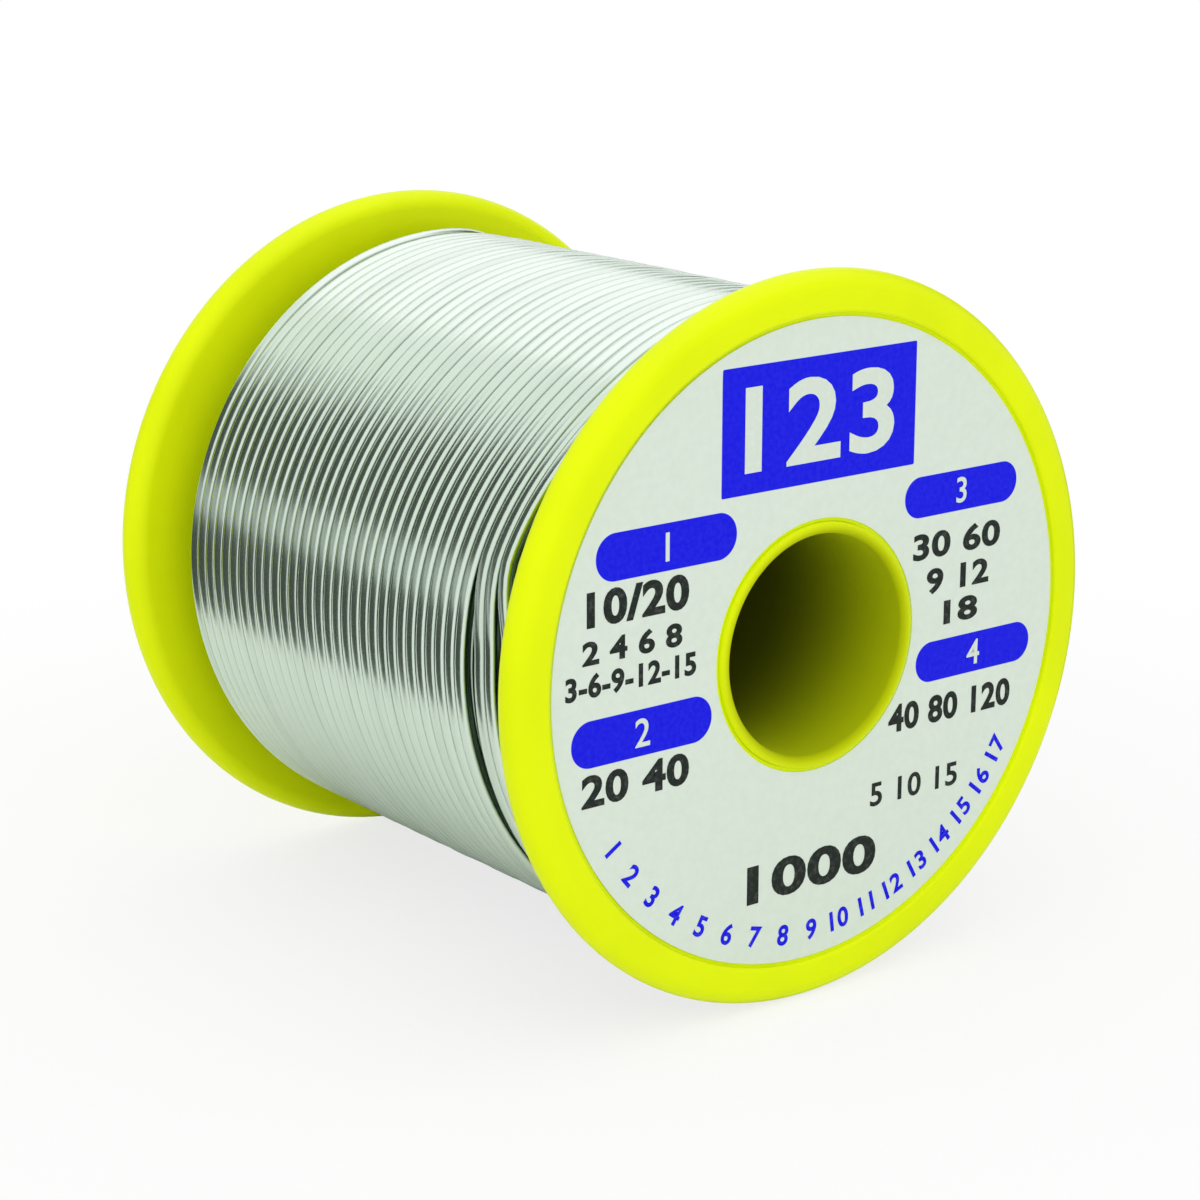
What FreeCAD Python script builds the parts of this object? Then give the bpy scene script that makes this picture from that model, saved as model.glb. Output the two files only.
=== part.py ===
"""Solder wire spool, in millimetres.

A reel of 1.2 mm flux-cored solder wire, lying on the rims of its two flanges. The spool is three plastic
mouldings: a barrel, and a flange on each of its stepped ends, the spigots. The spigots stand through the
flanges and show as a rounded ring round the spindle bore. The wire starts in a hole in the barrel beside the
front flange and is wound back and forth, and its last layer ends at the front again. At the rear the last
layers stop short of the flange, so the winding steps down to it there. A round paper label lies in the front
flange's recess.

Each layer of the wire is a solid of its own: a sleeve with a round ridge for each turn that shows, and plain
where other layers cover it. The wire's inner end and its last turn are true round bars.

Frame: the origin is the middle of the bore. +Y runs along the bore from the labelled front flange to the
rear one, so the label faces -Y. +Z is up, and the label's top is at +Z.
"""

import FreeCAD, Part
import itertools
import math
import os

# Driving dimensions of the spool
flange_diameter = 56.0
winding_width = 49.6  # between the flanges, at the barrel
flange_thickness = 3.2  # at the hub
face_draft = 0.25  # how far the flange's inner face leans outwards at the rim
recess_depth = 0.45  # the label's recess, below the rim's outer face
rim_width = 3.1  # of the raised rim round the recess, measured along a radius
rim_edge_radius = 0.3  # where the rim drops into the recess
bore_diameter = 17.0  # runs on a 16 mm spindle
spigot_wall = 0.9  # of the barrel's stepped ends, which carry the flanges
shoulder_height = 1.2  # of the step from a spigot up to the barrel's outside
spigot_outer_rounding = 0.35  # radius at a spigot's end, on its outside
spigot_bore_rounding = 0.5  # and at the bore
spigot_fit = 0.02  # radial clearance of a spigot in its flange

# Driving dimensions of the label
label_thickness = 0.12
label_margin = 0.3  # from the label to the rim, and from the label to the spigot

# Driving dimensions of the wire
wire_diameter = 1.2
turn_gap = 0.05  # between neighbouring turns of a layer
layer_count = 14
stepped_layer_count = 3  # of the last layers, which step down to the rear flange, a turn at a time
seat_clearance = 0.02  # between the wire and what it lies on
end_clearance = 0.1  # the least room between a layer and a flange
end_groove_count = 1  # grooves of the outer layer left open behind the wire's last turn
last_turn_count = 2  # whole turns behind those grooves
open_groove_count = 1  # grooves left open between those turns and the outer layer's main ones
flux_core_diameter = 0.53  # the flux is 3% of the wire's weight
free_end_angle = 60.0  # degrees from +X towards +Z, where the last turn begins
free_end_sweep = 318.0  # degrees of the last turn, up to its cut end
start_angle = 150.0  # degrees from +X towards +Z, where the wire's inner end enters the barrel
start_sweep = 340.0  # degrees of the first turn
start_bend_radius = 1.5  # of the wire's centre line, where it turns into the barrel
start_hole_clearance = 0.15  # round the wire, in the barrel's start hole
start_end_depth = 0.25  # how far the wire's inner end stops short of the bore

# Sizes that follow
flange_radius = flange_diameter / 2
bore_radius = bore_diameter / 2
spigot_radius = bore_radius + spigot_wall
barrel_radius = spigot_radius + shoulder_height
outer_rounding = min(spigot_outer_rounding, 0.4 * spigot_wall)
bore_rounding = min(spigot_bore_rounding, 0.58 * spigot_wall)
wire_radius = wire_diameter / 2
flange_inner = winding_width / 2  # from the middle to a flange's inner face, at the barrel
flange_outer = flange_inner + flange_thickness
recess_floor = flange_outer - recess_depth
recess_radius = flange_radius - rim_width
label_outer_radius = recess_radius - label_margin
label_hole_radius = spigot_radius + label_margin
turn_pitch = wire_diameter + turn_gap
layer_step = math.sqrt(wire_diameter**2 - (turn_pitch / 2) ** 2)  # turns lie in the grooves below them
layer_shift = turn_pitch / 4  # odd layers lie this far to the rear, even ones to the front
turn_room = winding_width - 2 * (end_clearance + layer_shift) - wire_diameter
turn_count = int(turn_room / turn_pitch) + 1
first_layer_radius = barrel_radius + seat_clearance + wire_radius

FRONT = -1
REAR = 1
MIDDLE = FreeCAD.Vector(0, 0, 0)
AXIS = FreeCAD.Vector(0, 1, 0)
OUTWARDS = FreeCAD.Vector(1, 0, 0)  # away from the axis, in a turned profile


def at(radius, along):
    """A point of a turned profile: its distance from the spool's axis and its place along it."""
    return FreeCAD.Vector(radius, along, 0)


def line(start, end):
    return Part.LineSegment(start, end).toShape()


def arc(start, middle, end):
    return Part.Arc(start, middle, end).toShape()


def rounded_corner(corner, before, after, radius):
    """Start, arc and end of a rounded square corner, whose sides leave it along before and after."""
    start = corner + before * radius
    end = corner + after * radius
    middle = corner + (before + after) * (radius * (1 - math.sqrt(0.5)))
    return start, arc(start, middle, end), end


def turned(edges):
    """The solid that a closed profile sweeps round the spool's axis."""
    solid = Part.Face(Part.Wire(edges)).revolve(MIDDLE, AXIS, 360)
    if solid.Volume < 0:
        solid.reverse()
    return solid


def sleeve(inner_radius, outer_radius, low, high):
    """A plain ring round the spool's axis, from low to high along it."""
    corners = [
        at(inner_radius, low),
        at(outer_radius, low),
        at(outer_radius, high),
        at(inner_radius, high),
    ]
    return turned([line(corners[i - 1], corners[i]) for i in range(len(corners))])


def round_bar(edges, radius):
    """A round bar along joined edges, with flat ends."""
    first = edges[0]
    start = first.valueAt(first.FirstParameter)
    direction = first.tangentAt(first.FirstParameter)
    section = Part.Wire(Part.makeCircle(radius, start, direction))
    return Part.Wire(edges).makePipeShell([section], True, True)


def flange(side):
    """A flange with a full-round rim, a leaning inner face and a recess for a label in its outer face."""
    inwards_along = FreeCAD.Vector(0, -side, 0)
    hole_radius = spigot_radius + spigot_fit
    rim_inner = flange_inner + face_draft
    rim_radius = (flange_outer - rim_inner) / 2
    hub_inner = at(hole_radius, side * flange_inner)
    hub_outer = at(hole_radius, side * recess_floor)
    rim_start = at(flange_radius - rim_radius, side * rim_inner)
    rim_top = at(flange_radius, side * (rim_inner + rim_radius))
    rim_end = at(flange_radius - rim_radius, side * flange_outer)
    lip = at(recess_radius, side * flange_outer)
    lip_start, lip_arc, lip_end = rounded_corner(lip, OUTWARDS, inwards_along, rim_edge_radius)
    recess_edge = at(recess_radius, side * recess_floor)
    return turned([
        line(hub_inner, rim_start),
        arc(rim_start, rim_top, rim_end),
        line(rim_end, lip_start),
        lip_arc,
        line(lip_end, recess_edge),
        line(recess_edge, hub_outer),
        line(hub_outer, hub_inner),
    ])


def spigot_profile(side):
    """A spigot's profile from the barrel's shoulder to the bore: first point, edges and last point."""
    inwards_along = FreeCAD.Vector(0, -side, 0)
    shoulder = at(barrel_radius, side * flange_inner)
    root = at(spigot_radius, side * flange_inner)
    outer_corner = at(spigot_radius, side * flange_outer)
    bore_corner = at(bore_radius, side * flange_outer)
    outer_start, outer_arc, outer_end = rounded_corner(
        outer_corner, inwards_along, -OUTWARDS, outer_rounding
    )
    bore_start, bore_arc, bore_end = rounded_corner(
        bore_corner, OUTWARDS, inwards_along, bore_rounding
    )
    edges = [
        line(shoulder, root),
        line(root, outer_start),
        outer_arc,
        line(outer_end, bore_start),
        bore_arc,
    ]
    return shoulder, edges, bore_end


def layer_radius(number):
    """Radius of the wire's centre line in a layer, counted from 1 at the barrel."""
    return first_layer_radius + (number - 1) * layer_step


def turn_place(number, turn):
    """Place along the axis of a layer's turn, counted from 0 at the front."""
    shift = layer_shift if number % 2 else -layer_shift
    return shift + (turn - (turn_count - 1) / 2) * turn_pitch


def turns_in(number):
    """Numbers of a layer's turns, from every groove that could hold one. None lies above the outer layer."""
    if number > layer_count:
        return []
    end = turn_count - max(0, number - (layer_count - stepped_layer_count))
    if number < layer_count:
        return list(range(end))
    last_start = 1 + end_groove_count
    main_start = last_start + last_turn_count + open_groove_count
    return [0, *range(last_start, last_start + last_turn_count), *range(main_start, end)]


def shows(number, place):
    """Whether a layer's turn shows, beside a groove that is open because the next layer has no turn in it."""
    above = number + 1
    open_grooves = set(range(turn_count)) - set(turns_in(above))
    return any(abs(turn_place(above, groove) - place) < turn_pitch for groove in open_grooves)


def start_path():
    """The wire's inner end: its first turn, the bend, its leg in the barrel, and that leg's line to the bore.

    The bend leaves the turn's circle towards the axis and ends on a radius. So its centre lies one bend
    radius inside that circle and one bend radius beside the leg.
    """
    along = turn_place(1, 0)
    bend_centre_radius = first_layer_radius - start_bend_radius
    lean = math.asin(start_bend_radius / bend_centre_radius)
    leg_angle = math.radians(start_angle)
    bend_angle = leg_angle + lean
    turn_angle = math.radians(start_sweep)

    def polar(radius, angle):
        return FreeCAD.Vector(radius * math.cos(angle), along, radius * math.sin(angle))

    bend_centre = polar(bend_centre_radius, bend_angle)
    bend_start = polar(first_layer_radius, bend_angle)
    bend_end = polar(bend_centre_radius * math.cos(lean), leg_angle)
    halfway = (bend_start - bend_centre) + (bend_end - bend_centre)
    bend_middle = bend_centre + halfway.normalize() * start_bend_radius
    turn = arc(
        polar(first_layer_radius, bend_angle + turn_angle),
        polar(first_layer_radius, bend_angle + turn_angle / 2),
        bend_start,
    )
    bend = arc(bend_start, bend_middle, bend_end)
    leg = line(bend_end, polar(bore_radius + start_end_depth, leg_angle))
    through = line(bend_end, polar(bore_radius - wire_radius, leg_angle))
    return turn, bend, leg, through


def barrel():
    """The tube that the wire is wound on, with a spigot at each end and the wire's start hole in its wall."""
    front_shoulder, front_edges, front_bore = spigot_profile(FRONT)
    rear_shoulder, rear_edges, rear_bore = spigot_profile(REAR)
    bore = line(front_bore, rear_bore)
    outside = line(rear_shoulder, front_shoulder)
    body = turned(front_edges + [bore] + rear_edges[::-1] + [outside])
    turn, bend, leg, through = start_path()
    return body.cut(round_bar([bend, through], wire_radius + start_hole_clearance))


def label():
    """The paper ring, lying on the recess's floor."""
    return sleeve(label_hole_radius, label_outer_radius, -(recess_floor + label_thickness), -recess_floor)


def wire_start():
    """The wire's first turn, with its inner end bent into the barrel's start hole."""
    turn, bend, leg, through = start_path()
    return round_bar([turn, bend, leg], wire_radius)


def wound_turns(number, places):
    """Turns of a layer, side by side: a sleeve, plain but for a round ridge for each turn that shows."""
    radius = layer_radius(number)
    top = radius + wire_radius
    seat = barrel_radius if number == 1 else layer_radius(number - 1) + wire_radius
    first = at(seat + seat_clearance, places[0] - wire_radius)
    last = at(seat + seat_clearance, places[-1] + wire_radius)
    corner = first
    edges = []
    for seen, run in itertools.groupby(places, lambda place: shows(number, place)):
        run = list(run)
        if seen:
            for place in run:
                ridge_start = at(radius, place - wire_radius)
                ridge_end = at(radius, place + wire_radius)
                edges.append(line(corner, ridge_start))
                edges.append(arc(ridge_start, at(top, place), ridge_end))
                corner = ridge_end
        else:
            flat_start = at(top, run[0] - wire_radius)
            flat_end = at(top, run[-1] + wire_radius)
            edges.append(line(corner, flat_start))
            edges.append(line(flat_start, flat_end))
            corner = flat_end
    return turned(edges + [line(corner, last), line(last, first)])


def last_turn(bar_radius, along, sweep):
    """A round bar bent round the axis, just clear of the turns below: the wire's last turn or its core."""
    centre = at(layer_radius(layer_count) + seat_clearance, along)
    section = Part.Face(Part.Wire(Part.makeCircle(bar_radius, centre, FreeCAD.Vector(0, 0, 1))))
    bar = section.revolve(MIDDLE, AXIS, -sweep)
    bar.rotate(MIDDLE, AXIS, -free_end_angle)
    return bar


os.makedirs("parts", exist_ok=True)
layers = {}
for number in range(1, layer_count + 1):
    layers[number] = [turn_place(number, turn) for turn in turns_in(number)]
layers[1].pop(0)  # the wire's start is the first layer's foremost turn
end_place = layers[layer_count][0]
last_places = layers[layer_count][1:1 + last_turn_count]
main_places = layers[layer_count][1 + last_turn_count:]
core = last_turn(flux_core_diameter / 2, end_place, free_end_sweep)
pieces = {
    "front_flange": flange(FRONT),
    "rear_flange": flange(REAR),
    "barrel": barrel(),
    "label": label(),
    "wire_start": wire_start(),
}
for number in range(1, layer_count):
    pieces["wire_layer_%02d" % number] = wound_turns(number, layers[number])
seat = last_turn(wire_radius + seat_clearance / 2, end_place, 360)
top_covered = "wire_layer_%02d" % (layer_count - 1)
pieces[top_covered] = pieces[top_covered].cut(seat)
pieces["wire_layer_%02d" % layer_count] = wound_turns(layer_count, main_places)
pieces["wire_last_turns"] = wound_turns(layer_count, last_places)
pieces["wire_free_end"] = last_turn(wire_radius, end_place, free_end_sweep).cut(core)
pieces["flux_core"] = core

for name, shape in pieces.items():
    shape.exportStep("parts/%s.step" % name)
    print("%-16s %d solid, %9.2f mm3, valid %s" % (name, len(shape.Solids), shape.Volume, shape.isValid()))
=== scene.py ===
"""Solder wire spool: its looks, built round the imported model.

Lengths are in metres, in the model's frame: +Y runs along the bore from the labelled front flange to the rear one,
and +Z is up. Angles round the spool are counted from +X towards +Z.
"""

import math

import bpy
import numpy as np
from mathutils import Matrix, Vector


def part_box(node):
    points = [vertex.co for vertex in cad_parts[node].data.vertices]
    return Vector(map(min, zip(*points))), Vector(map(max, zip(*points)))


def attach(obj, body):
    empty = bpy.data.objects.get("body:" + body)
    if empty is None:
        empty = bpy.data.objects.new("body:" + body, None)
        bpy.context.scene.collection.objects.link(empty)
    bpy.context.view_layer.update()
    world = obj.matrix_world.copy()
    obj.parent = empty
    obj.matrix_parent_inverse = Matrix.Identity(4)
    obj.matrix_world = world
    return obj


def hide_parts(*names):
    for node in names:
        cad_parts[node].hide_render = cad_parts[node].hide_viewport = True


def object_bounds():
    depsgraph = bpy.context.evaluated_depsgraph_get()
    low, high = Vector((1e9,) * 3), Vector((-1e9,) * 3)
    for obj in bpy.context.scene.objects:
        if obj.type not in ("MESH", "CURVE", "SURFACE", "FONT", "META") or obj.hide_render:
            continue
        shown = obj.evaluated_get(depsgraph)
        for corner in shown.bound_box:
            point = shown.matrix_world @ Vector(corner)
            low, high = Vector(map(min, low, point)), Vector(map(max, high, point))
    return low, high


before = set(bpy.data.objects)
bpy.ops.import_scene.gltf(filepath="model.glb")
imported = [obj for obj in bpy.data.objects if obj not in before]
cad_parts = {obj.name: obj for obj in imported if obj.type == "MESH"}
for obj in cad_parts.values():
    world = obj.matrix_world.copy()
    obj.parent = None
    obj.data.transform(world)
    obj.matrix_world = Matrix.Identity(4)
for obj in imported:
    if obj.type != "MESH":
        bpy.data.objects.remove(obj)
cad_low, cad_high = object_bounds()

MM = 0.001
BODY = "root"
AXIS = np.array([0.0, 1.0, 0.0])
SHARP_ANGLE = 35.0  # degrees: an edge that turns by more is a sharp one

# Sizes that the frame gives
flange_low, flange_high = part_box("front_flange")
label_low, label_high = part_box("label")
main_low, main_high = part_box("wire_layer_14")
last_low, last_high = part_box("wire_last_turns")
end_low, end_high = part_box("wire_free_end")
core_low, core_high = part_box("flux_core")
flange_radius = flange_high[0]
flange_outer = -flange_low[1]
flange_inner = -flange_high[1]
barrel_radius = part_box("barrel")[1][0]
recess_floor = -label_high[1]
label_face = -label_low[1]
label_radius = label_high[0]
wire_radius = (end_high[1] - end_low[1]) / 2
core_radius = (core_high[1] - core_low[1]) / 2
turn_radius = main_high[0] - wire_radius

# Sizes of the mouldings that the frame doesn't give by itself
BORE_RADIUS = 8.5 * MM
SPIGOT_RADIUS = 9.4 * MM
SPIGOT_ROOM = 0.02 * MM
RECESS_RADIUS = 24.9 * MM
FACE_DRAFT = 0.25 * MM
RIM_EDGE_ROUNDING = 0.3 * MM
RECESS_CORNER_ROUNDING = 0.12 * MM
SPIGOT_OUTER_ROUNDING = 0.35 * MM
SPIGOT_BORE_ROUNDING = 0.5 * MM
START_HOLE_ANGLE = math.radians(150.0)
START_HOLE_RADIUS = 0.75 * MM


def smoothstep(low, high, value):
    """0 below low, 1 above high, and a smooth rise between them."""
    share = np.clip((value - low) / (high - low), 0.0, 1.0)
    return share * share * (3.0 - 2.0 * share)


def outwards_at(angle):
    """Unit vectors away from the bore's axis, at angles round the spool: (cos a, 0, sin a)."""
    return np.stack([np.cos(angle), np.zeros_like(angle), np.sin(angle)], axis=-1)


def even_angles(count):
    """Angles spread evenly over a whole turn, without its end."""
    return np.linspace(0.0, math.tau, count, endpoint=False)


# Mesh tools

def linked_mesh(name, vertices, faces):
    """A new mesh object from lists of vertices and of faces, in the scene."""
    mesh = bpy.data.meshes.new(name)
    mesh.from_pydata(vertices, [], faces)
    thing = bpy.data.objects.new(name, mesh)
    bpy.context.scene.collection.objects.link(thing)
    return thing


def shade_smooth(mesh, sharp_angle=SHARP_ANGLE):
    """Shades a mesh smooth, apart from its sharp edges."""
    mesh.polygons.foreach_set("use_smooth", np.ones(len(mesh.polygons), bool))
    mesh.set_sharp_from_angle(angle=math.radians(sharp_angle))


def mesh_piece(name, vertices, faces, material, sharp_angle=SHARP_ANGLE):
    """A piece of the spool, from an array of vertices and a list of faces that face outwards."""
    piece = linked_mesh(name, vertices.tolist(), faces)
    piece.data.validate()
    piece.data.update()
    shade_smooth(piece.data, sharp_angle)
    piece.data.materials.append(material)
    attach(piece, BODY)
    return piece


def grid_faces(rows, columns, wrap_rows, wrap_columns):
    """Four-sided faces of a grid of vertices whose columns are counted first, closed on itself where it wraps."""
    row = np.arange(rows if wrap_rows else rows - 1)[:, None]
    column = np.arange(columns if wrap_columns else columns - 1)[None, :]
    next_row = (row + 1) % rows
    next_column = (column + 1) % columns
    corners = [
        row * columns + column,
        next_row * columns + column,
        next_row * columns + next_column,
        row * columns + next_column,
    ]
    return np.stack(corners, axis=-1).reshape(-1, 4)


def facing_out(vertices, quads):
    """The same faces, turned over if the pyramids from the origin to them have a volume below zero in all."""
    a, b, c, d = (vertices[quads[:, i]] for i in range(4))
    volume = np.einsum("ij,ij->i", a, np.cross(b, c)).sum() + np.einsum("ij,ij->i", a, np.cross(c, d)).sum()
    return quads if volume > 0 else quads[:, ::-1]


def closed_tube(vertices, rings, around):
    """Faces of a tube that goes from ring to ring of vertices, with a flat cap at each end. All of them face out."""
    quads = facing_out(vertices, grid_faces(rings, around, False, True))
    start_cap = list(range(around))
    end_cap = list(range((rings - 1) * around, rings * around))
    turned_over = quads[0][1] != around
    caps = [start_cap[::-1], end_cap] if turned_over else [start_cap, end_cap[::-1]]
    return quads.tolist() + caps


def turned_piece(name, profile, material, around=288):
    """A solid of revolution: each profile point (radius, along) goes to (r cos a, along, r sin a)."""
    angle = even_angles(around)[:, None]
    radius, along = profile[:, 0][None, :], profile[:, 1][None, :]
    grid = np.stack([radius * np.cos(angle), along + 0.0 * angle, radius * np.sin(angle)], axis=-1)
    vertices = grid.reshape(-1, 3)
    quads = facing_out(vertices, grid_faces(around, len(profile), True, True))
    return mesh_piece(name, vertices, quads.tolist(), material)


def arc_points(centre, radius, start, end, count):
    """Points on an arc of a profile: centre plus radius times (cos a, sin a), with a from start to end in degrees."""
    angle = np.radians(np.linspace(start, end, count))
    return np.stack([centre[0] + radius * np.cos(angle), centre[1] + radius * np.sin(angle)], axis=-1)


def straight_points(start, end, count):
    """Points spread evenly from start up to, but without, end."""
    share = np.linspace(0.0, 1.0, count, endpoint=False)[:, None]
    return np.asarray(start) * (1.0 - share) + np.asarray(end) * share


# Node tools

class Nodes:
    """Adds nodes to a tree and joins them, so that a material reads as a list of steps."""

    def __init__(self, tree):
        self.tree = tree

    def add(self, kind, inputs=None, **settings):
        """A node with its settings. Each input is a steady value or another node's output."""
        node = self.tree.nodes.new(kind)
        for key, value in settings.items():
            setattr(node, key, value)
        for key, value in (inputs or {}).items():
            if isinstance(value, bpy.types.NodeSocket):
                self.tree.links.new(value, node.inputs[key])
            else:
                node.inputs[key].default_value = value
        return node

    def math(self, operation, first, second=0.0, clamp=False):
        """A sum, product or the like of two values."""
        return self.add("ShaderNodeMath", {0: first, 1: second}, operation=operation, use_clamp=clamp).outputs[0]

    def length(self, first, second):
        """How long a flat vector is: the root of the sum of two squares."""
        squares = self.math("ADD", self.math("POWER", first, 2.0), self.math("POWER", second, 2.0))
        return self.math("SQRT", squares)

    def noise(self, vector, scale, detail=3.0, roughness=0.5):
        """Soft noise from 0 to 1."""
        inputs = {"Vector": vector, "Scale": scale, "Detail": detail, "Roughness": roughness}
        return self.add("ShaderNodeTexNoise", inputs).outputs["Fac"]

    def between(self, value, low, high, to_low=0.0, to_high=1.0):
        """A smooth step from to_low to to_high, while the value goes from low to high."""
        inputs = {"Value": value, 1: low, 2: high, 3: to_low, 4: to_high}
        return self.add("ShaderNodeMapRange", inputs, interpolation_type="SMOOTHSTEP").outputs[0]

    def blend(self, share, first, second):
        """A colour between two. The mix node's sockets 6 and 7 and its output 2 are the ones for colours."""
        return self.add("ShaderNodeMix", {0: share, 6: first, 7: second}, data_type="RGBA").outputs[2]

    def place(self):
        """The place on the object."""
        return self.add("ShaderNodeTexCoord").outputs["Object"]

    def stretched(self, vector, scale):
        """The same vector times a scale for each axis."""
        return self.add("ShaderNodeMapping", {"Vector": vector, "Scale": scale}).outputs[0]

    def group(self, group, output, **inputs):
        """An output of a shared node group."""
        named = {key.replace("_", " "): value for key, value in inputs.items()}
        return self.add("ShaderNodeGroup", named, node_tree=group).outputs[output]

    def bump(self, shader, height, distance, strength=1.0):
        """Unevenness on a shader's surface."""
        node = self.add("ShaderNodeBump", {"Height": height, "Distance": distance, "Strength": strength})
        self.tree.links.new(node.outputs["Normal"], shader.inputs["Normal"])


def new_group(name, inputs, outputs):
    """An empty shader node group with its sockets, and its two ends as Nodes, input node and output node."""
    group = bpy.data.node_groups.new(name, "ShaderNodeTree")
    for label, kind, default in inputs:
        socket = group.interface.new_socket(name=label, in_out="INPUT", socket_type=kind)
        if default is not None:
            socket.default_value = default
    for label, kind in outputs:
        group.interface.new_socket(name=label, in_out="OUTPUT", socket_type=kind)
    nodes = Nodes(group)
    return group, nodes, nodes.add("NodeGroupInput"), nodes.add("NodeGroupOutput")


def surface_grain_group():
    """Fine unevenness of a surface: a height from two noises, a coarse one and a fine one."""
    finer, coarse_share, fine_share = 4.3, 0.7, 0.3
    group, nodes, start, end = new_group(
        "surface_grain",
        [("Vector", "NodeSocketVector", None), ("Scale", "NodeSocketFloat", 1000.0)],
        [("Height", "NodeSocketFloat")],
    )
    coarse = nodes.noise(start.outputs["Vector"], start.outputs["Scale"], detail=2.0)
    finer_scale = nodes.math("MULTIPLY", start.outputs["Scale"], finer)
    fine = nodes.noise(start.outputs["Vector"], finer_scale, detail=2.0)
    height = nodes.math("ADD", nodes.math("MULTIPLY", coarse, coarse_share), nodes.math("MULTIPLY", fine, fine_share))
    group.links.new(height, end.inputs["Height"])
    return group


def handling_group():
    """Where a surface has been handled: soft patches, broken up by finer ones, as a mask from 0 to 1."""
    finer = 14.0
    group, nodes, start, end = new_group(
        "handling",
        [("Vector", "NodeSocketVector", None), ("Scale", "NodeSocketFloat", 60.0)],
        [("Mask", "NodeSocketFloat")],
    )
    patches = nodes.noise(start.outputs["Vector"], start.outputs["Scale"], detail=4.0, roughness=0.6)
    specks = nodes.noise(start.outputs["Vector"], nodes.math("MULTIPLY", start.outputs["Scale"], finer))
    broken = nodes.math("MULTIPLY", nodes.between(patches, 0.42, 0.72), nodes.between(specks, 0.35, 0.7))
    group.links.new(broken, end.inputs["Mask"])
    return group


def rounded_bar_group():
    """A printed bar on the label: 1 inside a rounded rectangle, measured in the label's plane, and 0 outside.

    The distance from the edge is the one to the corner's centre, or to the nearer side between the corners, less
    the rounding. It goes over from 1 to 0 within the width called Edge.
    """
    group, nodes, start, end = new_group(
        "rounded_bar",
        [
            ("Vector", "NodeSocketVector", None),
            ("Centre", "NodeSocketVector", None),
            ("Half Length", "NodeSocketFloat", 0.006),
            ("Half Height", "NodeSocketFloat", 0.0015),
            ("Rounding", "NodeSocketFloat", 0.0015),
            ("Edge", "NodeSocketFloat", 0.00004),
        ],
        [("Mask", "NodeSocketFloat")],
    )
    point_and_centre = {0: start.outputs["Vector"], 1: start.outputs["Centre"]}
    offset = nodes.add("ShaderNodeVectorMath", point_and_centre, operation="SUBTRACT").outputs[0]
    parts = nodes.add("ShaderNodeSeparateXYZ", {0: offset})

    def beyond(part, half):
        """How far a point lies past the corner's centre, one way."""
        inside = nodes.math("SUBTRACT", start.outputs[half], start.outputs["Rounding"])
        return nodes.math("SUBTRACT", nodes.math("ABSOLUTE", part), inside)

    across = beyond(parts.outputs["X"], "Half Length")
    upright = beyond(parts.outputs["Z"], "Half Height")
    corner = nodes.length(nodes.math("MAXIMUM", across, 0.0), nodes.math("MAXIMUM", upright, 0.0))
    inner = nodes.math("MINIMUM", nodes.math("MAXIMUM", across, upright), 0.0)
    distance = nodes.math("SUBTRACT", nodes.math("ADD", corner, inner), start.outputs["Rounding"])
    mask = nodes.math("SUBTRACT", 0.5, nodes.math("DIVIDE", distance, start.outputs["Edge"]), clamp=True)
    group.links.new(mask, end.inputs["Mask"])
    return group


GRAIN = surface_grain_group()
HANDLING = handling_group()
ROUNDED_BAR = rounded_bar_group()


# Materials

PLASTIC = (0.80, 0.94, 0.003)
PLASTIC_DEEP = (0.75, 0.89, 0.003)
PLASTIC_SHADED = (0.10, 0.11, 0.002)
BORE_MASK = (BORE_RADIUS + 0.05 * MM, BORE_RADIUS + 1.1 * MM)  # the painted shade and the dullness in the bore are whole up to the first radius
# Painted shade down the bore and over the spigot's lip: the share of the shaded colour deep inside and at the mouth,
# over this depth
BORE_SHADE_DEPTH = 16.0 * MM
BORE_PAINTED_SHADE = 0.95
MOUTH_PAINTED_SHADE = 0.46
BORE_ROUGHNESS = 1.0
PAPER = (0.72, 0.81, 0.71)
PAPER_FIBRES = tuple(0.965 * part for part in PAPER)
INK_BLUE = (0.007, 0.008, 0.78)
INK_BLACK = (0.016, 0.022, 0.018)
INK_WHITE = tuple(0.95 * part for part in PAPER)
THIN_INK_PALER = 0.05
SOLDER = (0.68, 0.80, 0.69)
# The darker solder colour paints the shade on the flanks between turns, and also tints the cloudy patches
SOLDER_SHADE_AND_CLOUD = (0.12, 0.18, 0.12)
FLANK_SHADE_SPAN = (0.52 * MM, 0.86 * MM)  # how far round from the wire's outer side the painted shade on the flank starts and is full
FLANK_PAINTED_SHADE = 0.92
FLUX = (0.55, 0.33, 0.08)
FLUX_SPECKS = (0.30, 0.16, 0.04)


def opaque(colour):
    """The colour with an alpha of 1."""
    return (*colour, 1.0)


def new_material(name, colour, roughness, **sockets):
    """A material with one Principled shader, its steady values on the shader's own sockets."""
    material = bpy.data.materials.new(name)
    material.use_nodes = True
    material.diffuse_color = opaque(colour)
    tree = material.node_tree
    shader = tree.nodes["Principled BSDF"]
    shader.inputs["Base Color"].default_value = opaque(colour)
    shader.inputs["Roughness"].default_value = roughness
    for key, value in sockets.items():
        shader.inputs[key.replace("_", " ")].default_value = value
    return material, Nodes(tree), shader


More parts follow.
